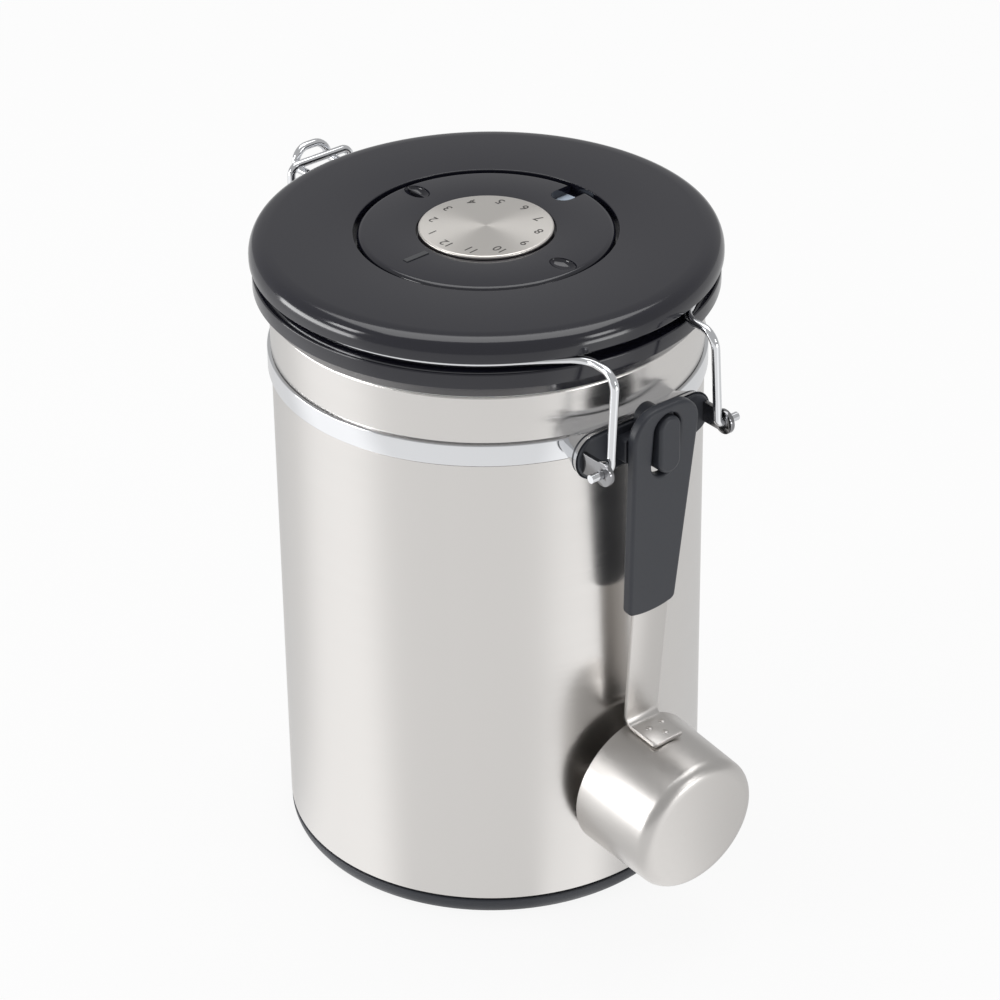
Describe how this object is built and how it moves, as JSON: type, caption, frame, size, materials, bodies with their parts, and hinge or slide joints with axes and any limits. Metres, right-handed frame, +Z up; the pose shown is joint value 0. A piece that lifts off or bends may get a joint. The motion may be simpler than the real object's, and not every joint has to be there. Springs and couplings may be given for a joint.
{
  "type": "coffee canister",
  "caption": "Steel canister with a wire-bail lid, a dated dial, a gas valve in the lid, an over-centre wire clamp and a scoop on a peg.",
  "frame": {"origin": "centre of the base ring's underside, on the can's axis, where the canister rests", "axes": "+Z up along the can's axis; +Y to the rear, where the lid's hinge and the scoop are; -Y to the front, where the clamp is; +X to the right seen from the front"},
  "size_m": [0.1298, 0.1734, 0.1889],
  "materials": {
    "brushed_can": "brushed round the can, satin",
    "satin_steel": "satin",
    "polished_steel": "polished",
    "wire": "drawn and polished",
    "dial_metal": "spun, with radial sheen",
    "lid_plastic": "fine matte",
    "dark_plastic": "fine matte",
    "silicone": "matte, translucent white",
    "pale_disc": "gloss",
    "filter_felt": "felted"
  },
  "bodies": {
    "canister": {"can_body": "brushed_can", "base_ring": "dark_plastic", "neck_band": "polished_steel", "rear_bracket": "polished_steel", "rear_hinge_plate": "polished_steel", "rear_hinge_block": "dark_plastic", "rear_rivets": "polished_steel", "front_bracket": "polished_steel", "front_hinge_plate": "polished_steel", "front_hinge_block": "dark_plastic", "front_rivets": "polished_steel"},
    "bail": {"bail_wire": "wire"},
    "lid": {"lid_cover": "lid_plastic", "lid_base": "lid_plastic", "lid_screws": "polished_steel", "lid_gasket": "silicone", "date_disc": "pale_disc", "valve_body": "dark_plastic", "valve_cap": "dark_plastic", "valve_filter": "filter_felt"},
    "date_ring": {"date_ring": "lid_plastic"},
    "dial": {"dial": "dial_metal", "dial_hub": "dark_plastic", "dial_clip": "polished_steel"},
    "valve_flap": {"valve_flap": "silicone"},
    "lever": {"clamp_lever": "wire"},
    "link": {"clamp_link": "wire"},
    "scoop": {"scoop_cup": "satin_steel", "scoop_strap": "satin_steel", "scoop_grip": "dark_plastic"}
  },
  "joints": [
    {"name": "lid_open", "type": "hinge", "parent": "canister", "child": "bail", "pos_m": [0, 0.0738, 0.1518], "axis": [-1, 0, 0], "range_deg": [0, 110]},
    {"name": "lid_spin", "type": "hinge", "parent": "bail", "child": "lid", "pos_m": [0, 0, 0.1797], "axis": [0, 0, 1], "continuous": true},
    {"name": "date_ring_turn", "type": "hinge", "parent": "lid", "child": "date_ring", "pos_m": [0, 0, 0.1868], "axis": [0, 0, 1], "continuous": true},
    {"name": "dial_turn", "type": "hinge", "parent": "lid", "child": "dial", "pos_m": [0, 0, 0.1868], "axis": [0, 0, 1], "continuous": true},
    {"name": "valve_lift", "type": "slide", "parent": "lid", "child": "valve_flap", "axis": [0, 0, 1], "range_m": [0, 0.0008], "stiffness_N_per_m": 4},
    {"name": "clamp_lever", "type": "hinge", "parent": "canister", "child": "lever", "pos_m": [0, -0.0738, 0.1518], "axis": [-1, 0, 0], "range_deg": [0, 115]},
    {"name": "link_swing", "type": "hinge", "parent": "lever", "child": "link", "pos_m": [0, -0.0712, 0.1428], "axis": [-1, 0, 0], "range_deg": [-90, 0]},
    {"name": "scoop_lift_off", "type": "slide", "parent": "canister", "child": "scoop", "axis": [0, 1, 0], "range_m": [0, 0.06]}
  ],
  "couplings": [
    {"joint": "link_swing", "follows": "clamp_lever", "ratio": -0.77}
  ]
}
